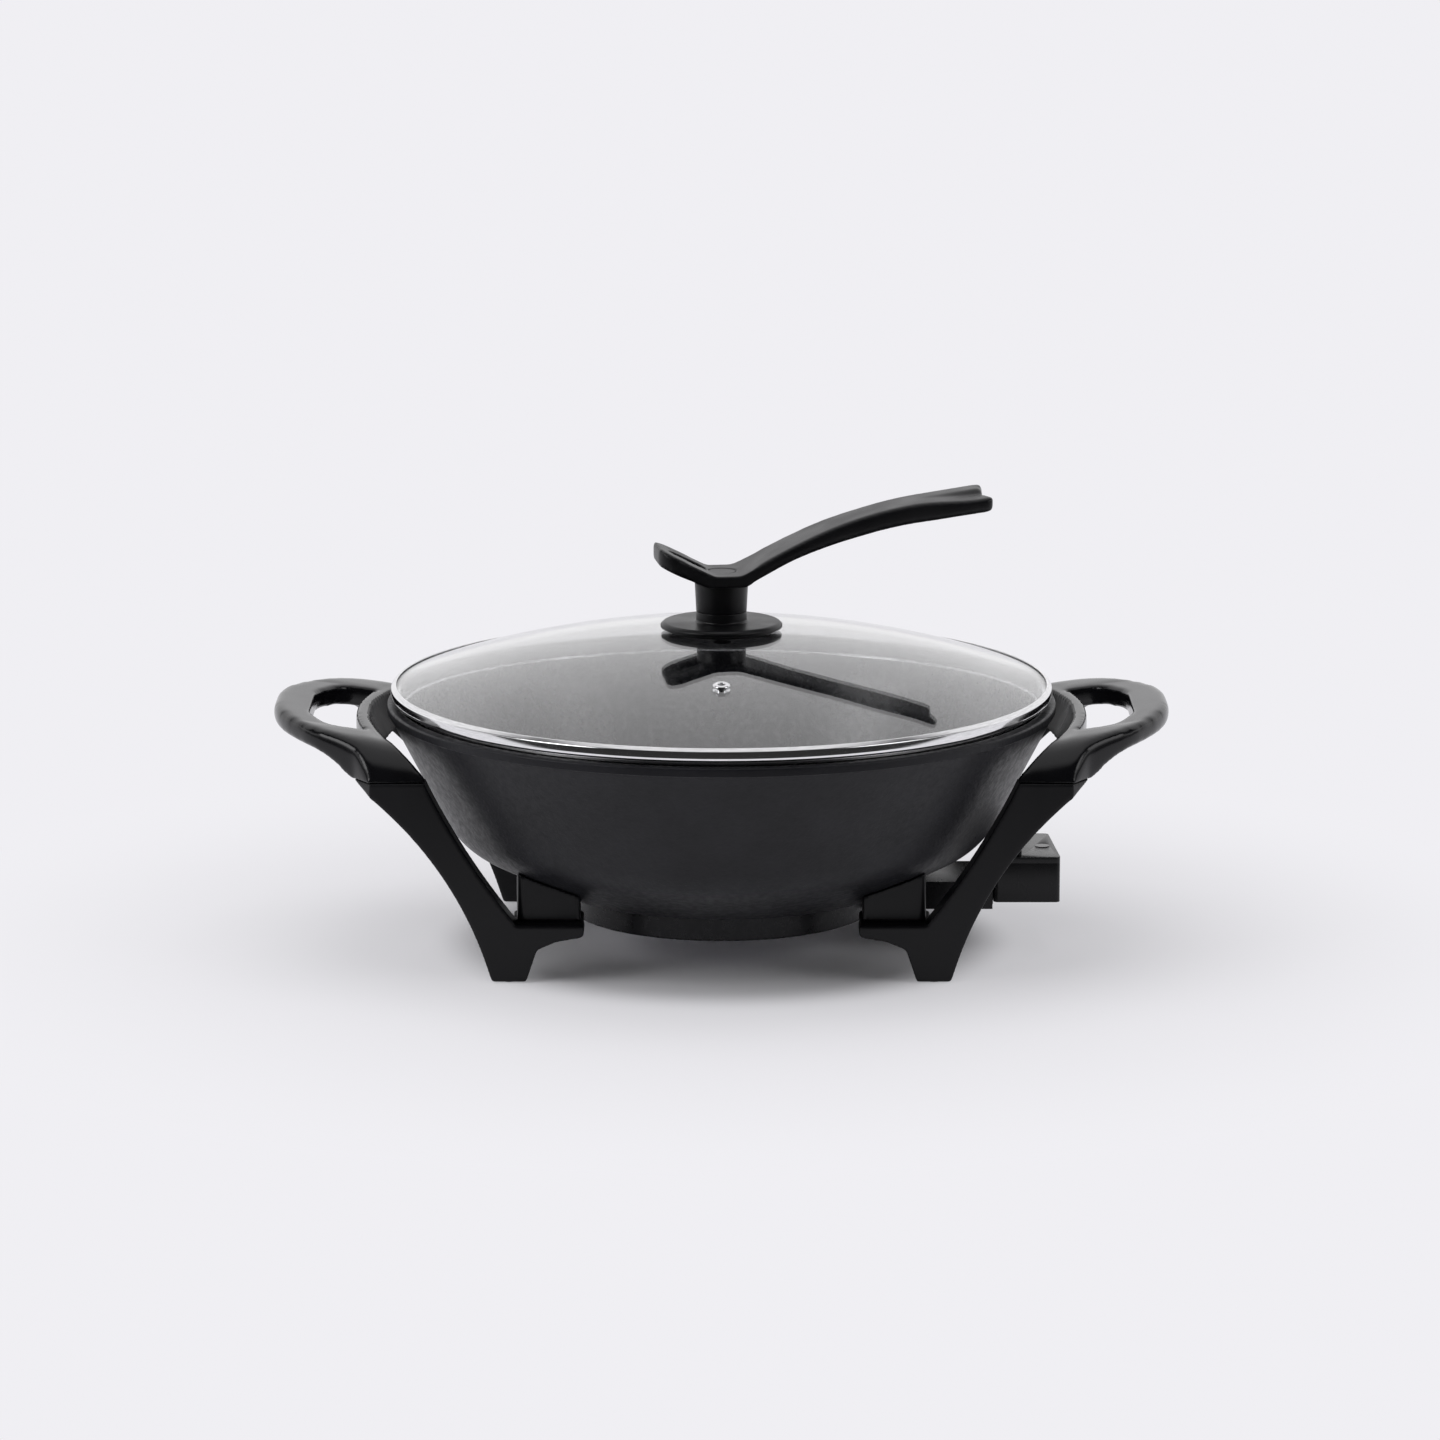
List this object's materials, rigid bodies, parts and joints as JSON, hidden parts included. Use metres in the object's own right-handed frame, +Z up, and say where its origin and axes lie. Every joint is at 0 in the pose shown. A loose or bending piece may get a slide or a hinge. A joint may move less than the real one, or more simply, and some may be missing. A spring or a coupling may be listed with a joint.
{
  "type": "electric wok",
  "caption": "Electric wok: coated cast bowl on moulded legs with looped side grips, a lift-off glass lid with an angled lever grip, and a plug-in temperature controller.",
  "frame": {"origin": "On the table under the middle of the bowl, at the middle of the object's box.", "axes": "+Z is up. X runs through the two side handles, with the controller on the +X side. Y runs from front to back, with the front at -Y."},
  "size_m": [0.4314, 0.323, 0.2193],
  "materials": {
    "cast_coat": "semi-gloss non-stick coating, fine orange-peel grain",
    "ring_coat": "satin black enamel",
    "plated_sheet": "plated sheet, satin",
    "screw_steel": "zinc plated, satin",
    "heater_sheath": "heat-tinted tube, matt",
    "polished_rim": "polished stainless steel",
    "lid_glass": "clear tempered glass",
    "satin_black": "moulded phenolic, fine satin grain",
    "gloss_black": "moulded phenolic, polished",
    "case_black": "moulded case, semi-gloss",
    "soft_seal": "silicone, matt",
    "pad_rubber": "rubber, matt",
    "lens_amber": "tinted clear lens, polished",
    "lamp_clear": "clear glass bulb",
    "insulator": "unglazed ceramic-like moulding",
    "contact_brass": "bare brass, satin"
  },
  "bodies": {
    "body": {"wok_bowl": "cast_coat", "base_ring": "ring_coat", "bottom_cover": "plated_sheet", "heat_shield": "plated_sheet", "cover_screws": "screw_steel", "heating_element": "heater_sheath", "terminal_pins": "screw_steel", "leg_front_right": "satin_black", "leg_front_left": "satin_black", "leg_rear_right": "satin_black", "leg_rear_left": "satin_black", "foot_pads": "pad_rubber", "mount_blocks": "satin_black", "leg_screws": "screw_steel", "handle_screws": "screw_steel", "handle_right": "gloss_black", "handle_left": "gloss_black", "terminal_shroud": "case_black", "shroud_screws": "screw_steel"},
    "lid": {"lid_glass": "lid_glass", "lid_rim_band": "polished_rim", "vent_grommet": "polished_rim", "knob_base": "satin_black", "knob_seal": "soft_seal", "knob_stem": "gloss_black", "inner_seal": "soft_seal", "lid_washer": "screw_steel", "lid_screw": "screw_steel", "knob_grip": "gloss_black", "knob_cap": "satin_black", "grip_screw": "screw_steel"},
    "controller": {"controller_base": "case_black", "controller_screws": "screw_steel", "controller_cover": "case_black", "pilot_lens": "lens_amber", "pilot_lamp": "lamp_clear", "probe": "polished_rim", "contact_sleeves": "contact_brass", "contact_carrier": "insulator", "thermostat_frame": "plated_sheet", "contact_blades": "contact_brass", "cord_gland": "soft_seal"},
    "dial": {"temperature_dial": "satin_black", "dial_shaft": "screw_steel", "dial_cam": "insulator"}
  },
  "joints": [
    {"name": "lid_lift", "type": "slide", "parent": "body", "child": "lid", "axis": [0, 0, 1], "range_m": [0, 0.15]},
    {"name": "controller_plug", "type": "slide", "parent": "body", "child": "controller", "axis": [1, 0, 0], "range_m": [0, 0.075]},
    {"name": "dial_turn", "type": "hinge", "parent": "controller", "child": "dial", "pos_m": [0.1403, 0.0264, 0.0376], "axis": [0, 1, 0], "range_deg": [0, 270]}
  ]
}
